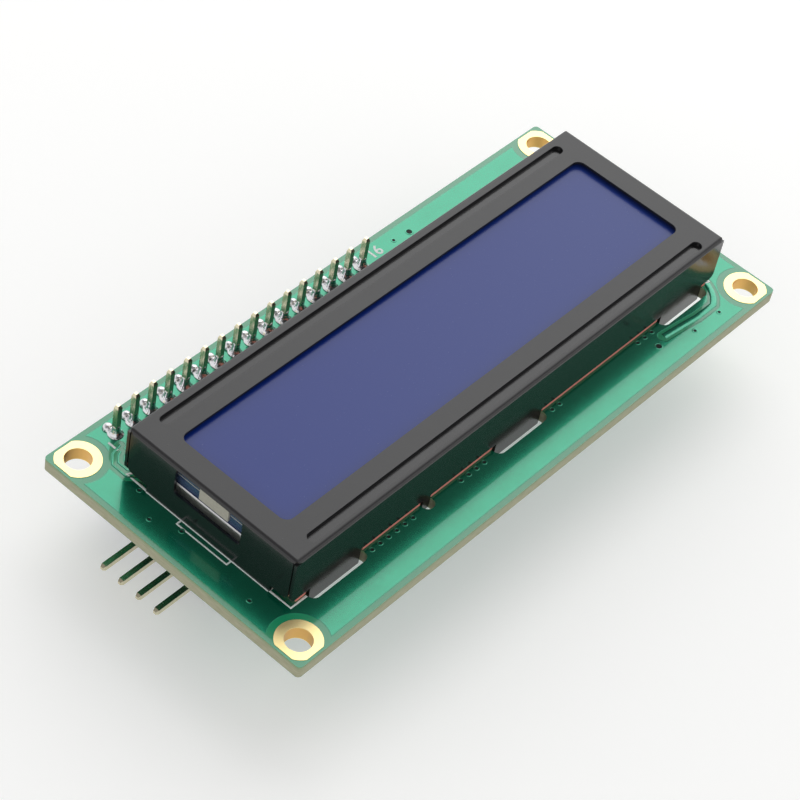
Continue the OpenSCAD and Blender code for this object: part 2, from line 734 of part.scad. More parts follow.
module driver_blobs() color([0.06, 0.06, 0.07]) under_board() {
    translate([-blob_reach[0], bezel_y - blob_drop, 0]) potting_blob(blob_r, blob_h);
    translate([blob_reach[1], bezel_y - blob_drop, 0]) potting_blob(blob_r, blob_h);
}

module chip_middle(h) translate([-chip_part_l / 2 + chip_end_l, -chip_part_w / 2, 0])
    cube([chip_part_l - 2 * chip_end_l, chip_part_w, h]);

module chip_ends(h) for (x = [-chip_part_l / 2, chip_part_l / 2 - chip_end_l])
    translate([x, -chip_part_w / 2, 0]) cube([chip_end_l, chip_part_w, h]);

module at_places(places) for (p = places) translate([p[0], p[1], 0]) children();

module board_resistors() color([0.1, 0.1, 0.1]) under_board()
    at_places(board_resistor_places) chip_middle(resistor_h);

module board_capacitors() color("tan") under_board()
    at_places(board_capacitor_places) chip_middle(capacitor_h);

module board_chip_ends() color("silver") under_board() {
    at_places(board_resistor_places) chip_ends(resistor_h);
    at_places(board_capacitor_places) chip_ends(capacitor_h);
}

// ---- Pin row ----

module header_pins() color("lightgoldenrodyellow") pin_places() square_pin(pin_w, pin_bottom, pin_top);

module header_spacer() color([0.12, 0.12, 0.12]) difference() {
    chamfer = 0.4;
    pin_places() translate([0, 0, spacer_z]) linear_extrude(spacer_h) polygon([
        [-pin_pitch / 2, -spacer_w / 2 + chamfer], [-pin_pitch / 2 + chamfer, -spacer_w / 2],
        [pin_pitch / 2 - chamfer, -spacer_w / 2], [pin_pitch / 2, -spacer_w / 2 + chamfer],
        [pin_pitch / 2, spacer_w / 2 - chamfer], [pin_pitch / 2 - chamfer, spacer_w / 2],
        [-pin_pitch / 2 + chamfer, spacer_w / 2], [-pin_pitch / 2, spacer_w / 2 - chamfer]
    ]);
    pin_places() translate([-pin_w / 2, -pin_w / 2, spacer_z - cut]) cube([pin_w, pin_w, spacer_h + 2 * cut]);
}

// A joint with its pin taken out of it
module pin_joint(h) difference() {
    solder_joint(joint_r, pin_w * 0.62, h);
    translate([-pin_w / 2, -pin_w / 2, -cut]) cube([pin_w, pin_w, h + 2 * cut]);
}

module front_joints() color("silver") pin_places() pin_joint(joint_h);

module rear_joints() color("silver") under_adapter() pin_places() pin_joint(rear_joint_h);

// ---- Adapter board ----

module adapter_board() color([0.1, 0.15, 0.35]) difference() {
    hole_h = adapter_t + 2 * cut;
    translate([adapter_x + adapter_l / 2, adapter_front + adapter_w / 2, adapter_bottom])
        round_plate(adapter_l, adapter_w, adapter_t, adapter_corner_r);
    translate([0, 0, adapter_bottom - cut]) {
        pin_places() cylinder(d = pin_hole_d, h = hole_h, $fn = small_fn);
        at_places(concat(bus_legs, jumper_legs)) cylinder(d = pin_hole_d, h = hole_h, $fn = small_fn);
        at_places(trimmer_legs) cylinder(d = trimmer_lead_d + lead_hole_play, h = hole_h, $fn = small_fn);
    }
}

// A right-angle pin: it leaves its body along -X and its leg goes up through the adapter
module angle_pin(y, body_x, leg_x, side) {
    axis_z = adapter_bottom - angle_axis;
    tip_x = side < 0 ? body_x - angle_pin_l : body_x + angle_pin_l;
    translate([0, y, axis_z]) rotate([0, side * 90, 0])
        square_pin(pin_w, side * leg_x, side * tip_x, low_tip = false);
    translate([leg_x, y, 0]) square_pin(pin_w, axis_z - pin_w / 2, adapter_top + leg_out, low_tip = false);
}

module bus_pins() color("lightgoldenrodyellow")
    for (p = bus_legs) angle_pin(p[1], bus_body_x, bus_leg_x, -1);

module jumper_pins() color("lightgoldenrodyellow")
    for (p = jumper_legs) angle_pin(p[1], jumper_body_end, jumper_leg_x, 1);

// The plastic body of a right-angle header, with a notch between its pins
module angle_body(count, x, y) {
    chamfer = 0.35;
    half = pin_pitch / 2;
    translate([x, y, adapter_bottom]) mirror([0, 0, 1]) difference() {
        linear_extrude(angle_body_t) for (i = [0 : count - 1])
            translate([0, (i - (count - 1) / 2) * pin_pitch]) polygon([
                [0, chamfer - half], [chamfer, -half], [angle_body_t - chamfer, -half],
                [angle_body_t, chamfer - half], [angle_body_t, half - chamfer],
                [angle_body_t - chamfer, half], [chamfer, half], [0, half - chamfer]
            ]);
        for (i = [0 : count - 1])
            translate([-cut, (i - (count - 1) / 2) * pin_pitch - pin_w / 2, angle_axis - pin_w / 2])
                cube([angle_body_t + 2 * cut, pin_w, pin_w]);
    }
}

module bus_header() color([0.1, 0.1, 0.1]) angle_body(bus_count, bus_body_x, bus_y);

module jumper_header() color([0.1, 0.1, 0.1]) angle_body(2, jumper_body_end - angle_body_t, jumper_y);

module adapter_joints() color("silver") translate([0, 0, adapter_top]) {
    leg_joint_h = leg_out * 0.85;
    at_places(concat(bus_legs, jumper_legs)) pin_joint(leg_joint_h);
    at_places(trimmer_legs) difference() {
        solder_joint(joint_r, trimmer_lead_d * 0.6, leg_joint_h);
        translate([0, 0, -cut]) cylinder(d = trimmer_lead_d, h = leg_joint_h + 2 * cut, $fn = small_fn);
    }
}

// ---- Expander chip ----

module expander_chip() color([0.09, 0.09, 0.1]) under_adapter() translate([chip_x, chip_y, chip_standoff]) {
    difference() {
        intersection() {
            rotate([90, 0, 90]) linear_extrude(chip_l, center = true) chip_section(chip_w);
            rotate([90, 0, 0]) linear_extrude(chip_w, center = true) chip_section(chip_l);
        }
        translate([chip_l / 2 - dot_inset, chip_w / 2 - dot_inset, chip_h - dot_depth])
            cylinder(d = dot_d, h = cut, $fn = small_fn);
    }
}

module chip_section(w) polygon([
    [chip_draft - w / 2, 0], [w / 2 - chip_draft, 0], [w / 2, chip_h / 2],
    [w / 2 - chip_draft, chip_h], [chip_draft - w / 2, chip_h], [-w / 2, chip_h / 2]
]);

// One gull-wing lead, from the body's side at y = 0 out along +Y; knee is where it bends down
module gull_lead(out, z_mid, w, t, foot_len, knee) rotate([90, 0, 90])
    linear_extrude(w, center = true) polygon([
        [0, z_mid - t / 2], [knee - t / 2, z_mid - t / 2], [out - foot_len - t / 2, 0], [out, 0],
        [out, t], [out - foot_len + t / 3, t], [knee + t / 2, z_mid + t / 2], [0, z_mid + t / 2]
    ]);

module expander_leads() color("silver") under_adapter() translate([chip_x, chip_y, 0]) {
    lead_out = (chip_span - chip_w) / 2;
    lead_mid_z = chip_standoff + chip_h / 2;
    for (i = [0 : lead_count - 1], side = [-1, 1])
        translate([(i - (lead_count - 1) / 2) * lead_pitch, side * chip_w / 2, 0]) scale([1, side, 1])
            gull_lead(lead_out, lead_mid_z, lead_w, lead_t, lead_foot, lead_knee);
}

// ---- Contrast trimmer ----

module under_trimmer() under_adapter() translate([trimmer_x, trimmer_y, 0]) children();

module trimmer_body() color([0.1, 0.3, 0.75]) under_trimmer() difference() {
    edge = 0.3;
    intersection() {
        translate([-trimmer_l / 2, -trimmer_w / 2, 0]) cube([trimmer_l, trimmer_w, trimmer_h]);
        rotate([90, 0, 90]) linear_extrude(trimmer_l, center = true) polygon([
            [-trimmer_w / 2, 0], [trimmer_w / 2, 0], [trimmer_w / 2, trimmer_h - edge],
            [trimmer_w / 2 - edge, trimmer_h], [edge - trimmer_w / 2, trimmer_h],
            [-trimmer_w / 2, trimmer_h - edge]
        ]);
    }
    translate([0, 0, trimmer_h + rotor_proud - rotor_t - rotor_play])
        cylinder(d = rotor_d + 2 * rotor_play, h = rotor_t + cut);
    translate([0, 0, trimmer_h + rotor_proud - rotor_t - stem_l - rotor_play])
        cylinder(d = stem_d + 2 * rotor_play, h = stem_l + cut);
}

module trimmer_rotor() color("ivory") under_trimmer() translate([0, 0, trimmer_h + rotor_proud])
    mirror([0, 0, 1]) difference() {
        union() {
            cylinder(d = rotor_d, h = rotor_t);
            cylinder(d = stem_d, h = rotor_t + stem_l);
        }
        slot_half = rotor_d * 0.36;
        for (turn = [0, 90]) rotate([0, 0, turn])
            translate([-slot_half, -driver_slot_w / 2, -cut])
                cube([2 * slot_half, driver_slot_w, driver_slot_depth + cut]);
        // A short pointer shows which way the rotor faces
        translate([slot_half - 0.01, -driver_slot_w / 2, -cut])
            cube([rotor_d / 2, driver_slot_w, driver_slot_depth / 3 + cut]);
    }

module trimmer_leads() color("silver") at_places(trimmer_legs)
    translate([0, 0, adapter_bottom])
        cylinder(d = trimmer_lead_d, h = adapter_t + leg_out, $fn = small_fn);

// ---- Jumper cap ----

module jumper_cap() color([0.08, 0.08, 0.08]) {
    low_z = adapter_bottom - angle_axis;
    room_w = pin_pitch + pin_w + 2 * (clip_play + clip_t);
    room_h = pin_w + 2 * (clip_play + clip_t);
    probe = pin_w + 0.1;
    translate([jumper_body_end + clip_play, jumper_y, low_z]) difference() {
        translate([0, -cap_w / 2, -cap_h / 2]) cube([cap_l, cap_w, cap_h]);
        translate([-cut, -room_w / 2, -room_h / 2]) cube([cap_l - cap_end_t + cut, room_w, room_h]);
        for (y = [-0.5, 0.5]) translate([cap_l - cap_end_t - cut, y * pin_pitch - probe / 2, -probe / 2])
            cube([cap_end_t + 2 * cut, probe, probe]);
    }
}

module jumper_clip() color("silver") {
    low_z = adapter_bottom - angle_axis;
    clip_l = cap_l - cap_end_t - clip_inset;
    inside = [pin_pitch + pin_w + 2 * clip_play, pin_w + 2 * clip_play];
    translate([jumper_body_end + clip_play + clip_inset, jumper_y, low_z]) rotate([90, 0, 90])
        linear_extrude(clip_l) difference() {
            square([inside[0] + 2 * clip_t, inside[1] + 2 * clip_t], center = true);
            square(inside, center = true);
        }
}

// ---- Small parts on the adapter ----

module transistor() color([0.1, 0.1, 0.11]) under_adapter() at_places([transistor_place])
    translate([-transistor_l / 2, -transistor_w / 2, chip_standoff])
        cube([transistor_l, transistor_w, transistor_h - chip_standoff]);

// The transistor's leads: two on its +Y side and one on its -Y side
module transistor_leads() color("silver") under_adapter() at_places([transistor_place]) {
    for (x = [-1, 1]) translate([x * transistor_pitch / 2, transistor_w / 2, 0]) transistor_lead();
    translate([0, -transistor_w / 2, 0]) scale([1, -1, 1]) transistor_lead();
}

module transistor_lead() gull_lead(transistor_w / 2, transistor_h * 0.4, lead_w, lead_t / 2, lead_t, lead_t);

module power_lamp() color([0.8, 0.2, 0.15]) under_adapter() translate(concat(power_lamp_place, 0))
    chip_middle(resistor_h);

module adapter_resistors() color([0.1, 0.1, 0.1]) under_adapter()
    at_places(adapter_resistor_places) chip_middle(resistor_h);

module adapter_capacitors() color("tan") under_adapter()
    at_places(adapter_capacitor_places) chip_middle(capacitor_h);

module adapter_chip_ends() color("silver") under_adapter() {
    at_places(adapter_resistor_places) chip_ends(resistor_h);
    at_places(adapter_capacitor_places) chip_ends(capacitor_h);
    at_places([power_lamp_place]) chip_ends(resistor_h);
}

main_board();
hole_plating();
bezel();
front_polarizer();
front_glass();
cell_seal();
fill_port_seal();
rear_glass();
rear_polarizer();
contact_strips();
backlight_frame();
diffuser();
light_guide();
reflector();
lamp_strip();
lamps();
lamp_leads();
driver_blobs();
board_resistors();
board_capacitors();
board_chip_ends();
header_pins();
header_spacer();
front_joints();
rear_joints();
adapter_board();
expander_chip();
expander_leads();
trimmer_body();
trimmer_rotor();
trimmer_leads();
bus_header();
bus_pins();
jumper_header();
jumper_pins();
jumper_cap();
jumper_clip();
adapter_joints();
transistor();
transistor_leads();
power_lamp();
adapter_resistors();
adapter_capacitors();
adapter_chip_ends();
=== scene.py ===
"""Finishes, printed lines, copper tracks, solder and studio for the character display module.

Lengths are in millimetres up to the helpers, which turn them into the frame's metres.
"""
import json
import math
import random

import bpy
from mathutils import Matrix, Vector

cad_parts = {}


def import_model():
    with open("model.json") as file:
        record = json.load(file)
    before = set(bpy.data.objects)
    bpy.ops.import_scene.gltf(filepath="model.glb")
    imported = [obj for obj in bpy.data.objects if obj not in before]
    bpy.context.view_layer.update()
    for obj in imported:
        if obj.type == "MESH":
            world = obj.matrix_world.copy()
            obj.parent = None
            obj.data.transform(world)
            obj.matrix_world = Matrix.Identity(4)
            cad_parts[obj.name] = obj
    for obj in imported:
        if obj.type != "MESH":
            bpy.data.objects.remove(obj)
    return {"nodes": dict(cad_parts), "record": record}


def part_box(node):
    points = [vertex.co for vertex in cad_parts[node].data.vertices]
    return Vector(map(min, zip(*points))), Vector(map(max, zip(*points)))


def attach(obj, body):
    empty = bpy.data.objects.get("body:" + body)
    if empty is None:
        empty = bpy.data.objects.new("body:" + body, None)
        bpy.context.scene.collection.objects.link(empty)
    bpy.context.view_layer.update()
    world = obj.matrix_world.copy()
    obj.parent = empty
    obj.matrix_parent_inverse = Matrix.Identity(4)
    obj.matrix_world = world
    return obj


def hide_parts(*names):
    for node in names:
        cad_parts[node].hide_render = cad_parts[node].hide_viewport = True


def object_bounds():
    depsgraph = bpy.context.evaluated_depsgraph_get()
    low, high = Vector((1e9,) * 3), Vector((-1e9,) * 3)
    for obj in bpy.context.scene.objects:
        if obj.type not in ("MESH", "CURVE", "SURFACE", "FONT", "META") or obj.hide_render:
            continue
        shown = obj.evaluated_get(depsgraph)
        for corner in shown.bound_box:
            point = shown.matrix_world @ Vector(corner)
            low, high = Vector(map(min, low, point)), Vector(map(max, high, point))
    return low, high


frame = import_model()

MM = 0.001
cad_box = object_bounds()
chance = random.Random(7)


# ---- Places taken from the frame ----

def box_mm(node):
    low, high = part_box(node)
    return low / MM, high / MM


def mount(name):
    return next(m for m in frame["record"]["mounts"] if m["name"] == name)


board_low, board_high = box_mm("main_board")
bezel_low, bezel_high = box_mm("bezel")
pins_low, pins_high = box_mm("header_pins")
adapter_low, adapter_high = box_mm("adapter_board")
window_low, window_high = box_mm("front_polarizer")

holes = mount("corner_holes")["dims"]
hole_x = holes["spacing_x_mm"] / 2
hole_y = holes["spacing_y_mm"] / 2
board_top = board_high.z
board_back = board_low.z
pin_pitch = 2.54
pin_w = 0.64
row_y = (pins_low.y + pins_high.y) / 2
pin_count = round((pins_high.x - pins_low.x - pin_w) / pin_pitch) + 1
pin_places = [pins_low.x + pin_w / 2 + k * pin_pitch for k in range(pin_count)]
adapter_top = adapter_high.z
adapter_bottom = adapter_low.z
bezel_mid_y = (bezel_low.y + bezel_high.y) / 2


# ---- Making finishes: sockets with arithmetic, and one method that adds a node ----

class Wire:
    """A socket that works in expressions: each operation adds its Math node."""

    def __init__(self, nodes, socket):
        self.nodes = nodes
        self.socket = socket

    def math(self, operation, *values):
        return self.nodes.node("ShaderNodeMath", {"operation": operation}, values)

    def __add__(self, other):
        return self.math("ADD", self, other)

    def __sub__(self, other):
        return self.math("SUBTRACT", self, other)

    def __rsub__(self, other):
        return self.math("SUBTRACT", other, self)

    def __mul__(self, other):
        return self.math("MULTIPLY", self, other)

    def __truediv__(self, other):
        return self.math("DIVIDE", self, other)

    def __pow__(self, other):
        return self.math("POWER", self, other)

    def __abs__(self):
        return self.math("ABSOLUTE", self)

    def __lt__(self, other):
        return self.math("LESS_THAN", self, other)

    def __gt__(self, other):
        return self.math("GREATER_THAN", self, other)

    def least(self, other):
        return self.math("MINIMUM", self, other)

    def most(self, other):
        return self.math("MAXIMUM", self, other)

    def step(self, start, end):
        """0 at start, 1 at end, smooth between."""
        settings = {"interpolation_type": "SMOOTHSTEP"}
        values = {"Value": self, "From Min": start, "From Max": end}
        return self.nodes.node("ShaderNodeMapRange", settings, values)

    __radd__ = __add__
    __rmul__ = __mul__


class Nodes:
    """A node tree, with the patterns that the finishes share, in millimetres on the object."""

    def __init__(self, tree):
        self.tree = tree
        tree.nodes.clear()

    def node(self, kind, settings=None, sockets=(), output=0):
        """Adds a node: its settings first, then a value or link for each socket."""
        node = self.tree.nodes.new(kind)
        for key, value in (settings or {}).items():
            setattr(node, key, value)
        for key, value in sockets.items() if isinstance(sockets, dict) else enumerate(sockets):
            if isinstance(value, Wire):
                self.tree.links.new(value.socket, node.inputs[key])
            else:
                node.inputs[key].default_value = value
        return Wire(self, node.outputs[output])

    def place(self, scale=(1, 1, 1)):
        """The point on the object in millimetres, scaled along each axis."""
        where = self.node("ShaderNodeTexCoord", output="Object")
        factors = tuple(s / MM for s in scale)
        return self.node("ShaderNodeVectorMath", {"operation": "MULTIPLY"}, [where, factors])

    def axes(self):
        place = self.place()
        return [self.node("ShaderNodeSeparateXYZ", {}, [place], output=k) for k in range(3)]

    def noise(self, per_mm, detail=2.0, stretch=(1, 1, 1)):
        values = {"Vector": self.place(stretch), "Scale": per_mm, "Detail": detail}
        return self.node("ShaderNodeTexNoise", {}, values)

    def cells(self, per_mm):
        return self.node("ShaderNodeTexVoronoi", {}, {"Vector": self.place(), "Scale": per_mm})

    def mix(self, factor, first, second):
        """A colour between two colours."""
        values = {0: factor}
        for key, colour in ((6, first), (7, second)):
            values[key] = colour if isinstance(colour, Wire) else (*colour, 1)
        return self.node("ShaderNodeMix", {"data_type": "RGBA"}, values, output=2)

    def bump(self, height, depth):
        """A normal from a height of 0 to 1 that stands for a depth in millimetres."""
        return self.node("ShaderNodeBump", {}, {"Height": height, "Distance": depth * MM, "Strength": 1.0})


class Finish(Nodes):
    """A material with one Principled shader."""

    made = {}

    def __init__(self, name, **constants):
        self.material = bpy.data.materials.new(name)
        self.material.use_nodes = True
        super().__init__(self.material.node_tree)
        self.shader = self.tree.nodes.new("ShaderNodeBsdfPrincipled")
        output = self.tree.nodes.new("ShaderNodeOutputMaterial")
        self.tree.links.new(self.shader.outputs[0], output.inputs["Surface"])
        for socket, value in constants.items():
            self.set(socket.replace("_", " "), value)
        Finish.made[name] = self.material

    def set(self, socket, value):
        """A link or a value for a socket of the shader."""
        place = self.shader.inputs[socket]
        if isinstance(value, Wire):
            self.tree.links.new(value.socket, place)
        else:
            place.default_value = (*value, 1) if isinstance(value, tuple) else value


def away_from_line(x, y, start, end):
    """Distance from a straight track between two points."""
    run_x, run_y = end[0] - start[0], end[1] - start[1]
    along = ((x - start[0]) * run_x + (y - start[1]) * run_y) / (run_x**2 + run_y**2)
    along = along.most(0).least(1)
    return ((x - start[0] - along * run_x) ** 2 + (y - start[1] - along * run_y) ** 2) ** 0.5


def away_from_path(x, y, points):
    """Distance from the nearest straight of a track."""
    nearest = None
    for start, end in zip(points, points[1:]):
        distance = away_from_line(x, y, start, end)
        nearest = distance if nearest is None else nearest.least(distance)
    return nearest


# ---- Tracks of the main board that show at the front ----

corner_tracks = [
    [(-32.9, 14.1), (-34.35, 13.75), (-35.4, 12.7), (-35.45, 10.6), (-33.9, 9.0)],
    [(-33.5, 13.45), (-34.05, 13.2), (-34.75, 12.5), (-34.75, 11.1), (-33.9, 10.3)],
]
lamp_track = [
    (24.0, -14.0), (26.8, -14.3), (29.5, -14.65), (32.4, -14.7), (33.4, -14.0), (34.0, -13.2), (34.6, -12.1),
]
track_gap = 0.55
lamp_track_w = 0.8


# ---- Finishes ----

def green_mask():
    """Green solder mask: mirror-like over copper, plainer over laminate at the edges, rings and tracks."""
    f = Finish("green_solder_mask", Coat_Weight=1.0, Coat_Roughness=0.06, Coat_IOR=1.5)
    x, y, z = f.axes()
    edge_strip, ring, fade = 0.65, 3.3, 0.06
    from_edge = (board_high.x - abs(x)).least(board_high.y - abs(y))
    from_hole = ((abs(x) - hole_x) ** 2 + (abs(y) - hole_y) ** 2) ** 0.5
    poured = from_edge.step(edge_strip - fade, edge_strip + fade) * from_hole.step(ring - fade, ring + fade)
    for path in corner_tracks:
        poured = poured * away_from_path(x, y, path).step(track_gap - 0.08, track_gap + 0.04)
    from_lamp_track = away_from_path(x, y, lamp_track)
    poured = poured * from_lamp_track.step(lamp_track_w / 2 + 0.28, lamp_track_w / 2 + 0.4)
    cloud = f.noise(0.35, 3)
    over_copper = f.mix(cloud, (0.004, 0.235, 0.125), (0.008, 0.285, 0.16))
    over_laminate = f.mix(cloud, (0.006, 0.27, 0.12), (0.012, 0.33, 0.15))
    side = (z < board_top - 0.03) * (z > board_back + 0.03)
    layers = f.noise(2.2, 4, (0.35, 0.35, 6))
    glass_cloth = f.mix(layers, (0.24, 0.25, 0.13), (0.56, 0.54, 0.4))
    tinted = f.mix(z.step(board_top - 0.55, board_top), glass_cloth, (0.25, 0.36, 0.19))
    mask_colour = f.mix(poured, over_laminate, over_copper)
    f.set("Base Color", f.mix(side, mask_colour, tinted))
    f.set("Metallic", poured * 0.7 * (1 - side))
    f.set("Roughness", side * 0.5 + 0.2 + f.noise(1.5) * 0.08)
    f.set("Coat Weight", 1 - side * 0.95)
    height = poured * 0.8 + f.noise(1.1, 1) * 0.12 + side * f.noise(7, 3) * 0.9
    f.set("Normal", f.bump(height, 0.035))


def green_track():
    """The same mask over a single copper track."""
    f = Finish("green_mask_over_track", Coat_Weight=1.0, Coat_Roughness=0.06, Metallic=0.7)
    f.set("Base Color", f.mix(f.noise(0.8), (0.004, 0.24, 0.13), (0.01, 0.31, 0.18)))
    f.set("Roughness", 0.2 + f.noise(1.5) * 0.08)
    f.set("Normal", f.bump(f.noise(2), 0.01))


def blue_mask():
    """Blue solder mask of the adapter board, over a poured back with bare laminate at the edge."""
    f = Finish("blue_solder_mask", Coat_Weight=1.0, Coat_Roughness=0.08)
    x, y, z = f.axes()
    middle_x = (adapter_low.x + adapter_high.x) / 2
    middle_y = (adapter_low.y + adapter_high.y) / 2
    half_l = (adapter_high.x - adapter_low.x) / 2
    half_w = (adapter_high.y - adapter_low.y) / 2
    from_edge = (half_l - abs(x - middle_x)).least(half_w - abs(y - middle_y))
    poured = from_edge.step(0.44, 0.56)
    cloud = f.noise(0.4, 3)
    colour = f.mix(poured, f.mix(cloud, (0.01, 0.035, 0.13), (0.015, 0.05, 0.17)), (0.008, 0.06, 0.28))
    side = (z < adapter_top - 0.03) * (z > adapter_bottom + 0.03)
    layers = f.noise(2.2, 4, (0.35, 0.35, 6))
    f.set("Base Color", f.mix(side, colour, f.mix(layers, (0.2, 0.2, 0.13), (0.48, 0.46, 0.34))))
    f.set("Metallic", poured * 0.35 * (1 - side))
    f.set("Roughness", side * 0.5 + 0.25 + cloud * 0.08)
    f.set("Normal", f.bump(poured * 0.8 + f.noise(1.1, 1) * 0.15, 0.035))


def printed_white():
    f = Finish("printed_white", Roughness=0.45)
    worn = f.noise(5, 3).step(0.3, 0.6)
    f.set("Base Color", f.mix(worn, (0.66, 0.76, 0.72), (0.86, 0.9, 0.88)))
    f.set("Normal", f.bump(f.noise(9), 0.008))


def gold():
    """Gold over copper: cream yellow, faintly brushed, with a darker, browner barrel inside the hole that is
    painted shade.
    """
    f = Finish("gold_plate", Metallic=1.0)
    x, y, z = f.axes()
    barrel_painted_shade = (z < board_top - 0.02) * (z > board_back + 0.02)
    streaks = f.noise(3, 4, (1, 2.2, 1))
    face = f.mix(streaks, (1.0, 0.78, 0.34), (1.0, 0.86, 0.46))
    # Painted shade: the barrel inside the hole is coloured a darker, browner gold.
    f.set("Base Color", f.mix(barrel_painted_shade, face, (0.78, 0.47, 0.15)))
    f.set("Roughness", 0.26 + streaks * 0.16)
    f.set("Normal", f.bump(streaks + f.noise(12, 2) * 0.4, 0.012))


def bezel_paint():
    """Black stove enamel on pressed sheet: satin on the face, glossier on the drawn walls."""
    f = Finish("black_enamel", IOR=1.55)
    x, y, z = f.axes()
    face = z.step(bezel_high.z - 0.25, bezel_high.z - 0.02)
    grain = f.noise(9, 3)
    pits = f.cells(1.3).step(0.12, 0.02)
    f.set("Base Color", f.mix(grain, (0.007, 0.007, 0.008), (0.013, 0.013, 0.0145)))
    f.set("Roughness", face * 0.2 + 0.13 + grain * 0.08 - pits * 0.04)
    soft = f.noise(0.25, 2)
    f.set("Normal", f.bump(grain * 0.5 + pits * face * 0.8 + soft * 2.0, 0.012))


def polarizer():
    """The polarizer over the cell: deep blue, with a fine anti-glare skin; its darker, greyer rim along the
    window's edges is painted shade, and a slight shift of the blue across it is painted light.
    """
    f = Finish("polarizer_blue", IOR=1.45)
    x, y, z = f.axes()
    half_l = (window_high.x - window_low.x) / 2
    half_w = (window_high.y - window_low.y) / 2
    # Painted shade: the blue darkens and greys towards the window's edges, where the bezel shades the deeper
    # layers.
    rim = (half_l - abs(x)).least(half_w - abs(y - bezel_mid_y)).step(1.6, 0.1)
    # Painted light: a slight shift of the blue across the window that stands in for how the light falls on
    # it.
    painted_light_sweep = (x * 0.018 - (y - bezel_mid_y) * 0.05 + 0.5).most(0).least(1)
    middle = f.mix(painted_light_sweep, (0.004, 0.024, 0.205), (0.012, 0.034, 0.215))
    f.set("Base Color", f.mix(rim, middle, (0.012, 0.016, 0.06)))
    f.set("Roughness", 0.2 + f.noise(6, 2) * 0.1)
    f.set("Normal", f.bump(f.noise(14, 2), 0.0015))


def plain(name, dark, light, rough, per_mm=3.0, depth=0.01):
    """A moulded, cast or plated finish: two shades in a noise, with that noise in roughness and relief."""
    f = Finish(name)
    shade = f.noise(per_mm, 3)
    f.set("Base Color", f.mix(shade, dark, light))
    f.set("Roughness", rough + shade * rough * 0.4)
    f.set("Normal", f.bump(shade, depth))


def solder():
    """Bright solder with a slightly frosted, wavy skin."""
    f = Finish("solder", Metallic=1.0)
    frost = f.noise(4, 3)
    f.set("Base Color", f.mix(frost, (0.6, 0.6, 0.63), (0.86, 0.86, 0.87)))
    f.set("Roughness", 0.1 + frost.step(0.45, 0.75) * 0.22)
    f.set("Normal", f.bump(f.noise(2.2, 2), 0.05))


def pin_plating():
    """Thin gold flash over nickel, with drawing marks along the pins."""
    f = Finish("pin_plating", Metallic=1.0)
    marks = f.noise(5, 3, (1, 1, 0.15))
    f.set("Base Color", f.mix(marks, (0.62, 0.56, 0.38), (0.86, 0.8, 0.6)))
    f.set("Roughness", 0.16 + marks * 0.16)
    f.set("Normal", f.bump(marks, 0.01))


def clear_plastic():
    f = Finish("clear_guide", IOR=1.49, Transmission_Weight=0.85)
    f.set("Base Color", f.mix(f.noise(0.6), (0.84, 0.9, 0.94), (0.92, 0.96, 0.98)))
    f.set("Roughness", 0.08 + f.noise(4) * 0.06)


def cell_glass():
    f = Finish("cell_glass", IOR=1.52, Transmission_Weight=0.6)
    # Painted shade: the glass is tinted a dark blue so that its ends inside the bezel's cut-out read dark,
    # as the shade there does.
    f.set("Base Color", f.mix(f.noise(0.3), (0.1, 0.17, 0.34), (0.14, 0.22, 0.4)))
    f.set("Roughness", 0.05 + f.noise(2) * 0.05)


green_mask()
green_track()
blue_mask()
printed_white()
gold()
bezel_paint()
polarizer()
solder()
pin_plating()
clear_plastic()
cell_glass()
# Painted shade: the near-black finish of the discs that stand in for the via holes' shade.
plain("via_hole_painted_shade", (0.002, 0.004, 0.003), (0.006, 0.012, 0.008), 0.6)
plain("cell_seal_epoxy", (0.36, 0.35, 0.29), (0.5, 0.48, 0.41), 0.55)
plain("contact_rubber", (0.72, 0.2, 0.16), (0.86, 0.3, 0.24), 0.6, per_mm=4, depth=0.03)
plain("white_moulding", (0.66, 0.72, 0.66), (0.78, 0.82, 0.76), 0.35)
plain("white_film", (0.84, 0.84, 0.84), (0.92, 0.92, 0.92), 0.5)
plain("lamp_laminate", (0.62, 0.57, 0.4), (0.76, 0.72, 0.56), 0.5)
plain("lamp_gel", (0.85, 0.76, 0.4), (0.95, 0.88, 0.56), 0.25)
plain("potting_black", (0.006, 0.006, 0.007), (0.014, 0.014, 0.016), 0.22, per_mm=0.8, depth=0.08)
plain("resistor_glaze", (0.012, 0.012, 0.014), (0.03, 0.03, 0.033), 0.35, per_mm=8)
plain("ceramic_tan", (0.36, 0.24, 0.13), (0.5, 0.36, 0.21), 0.4, per_mm=6)
plain("header_nylon", (0.008, 0.008, 0.009), (0.02, 0.02, 0.021), 0.4, per_mm=6, depth=0.02)
plain("chip_epoxy", (0.012, 0.012, 0.013), (0.03, 0.03, 0.032), 0.55, per_mm=14, depth=0.02)
plain("trimmer_blue", (0.01, 0.1, 0.5), (0.02, 0.14, 0.6), 0.3, per_mm=5, depth=0.015)
plain("rotor_white", (0.74, 0.73, 0.66), (0.86, 0.85, 0.79), 0.4, per_mm=5, depth=0.015)
plain("lamp_red", (0.45, 0.02, 0.015), (0.7, 0.05, 0.03), 0.2, per_mm=4)

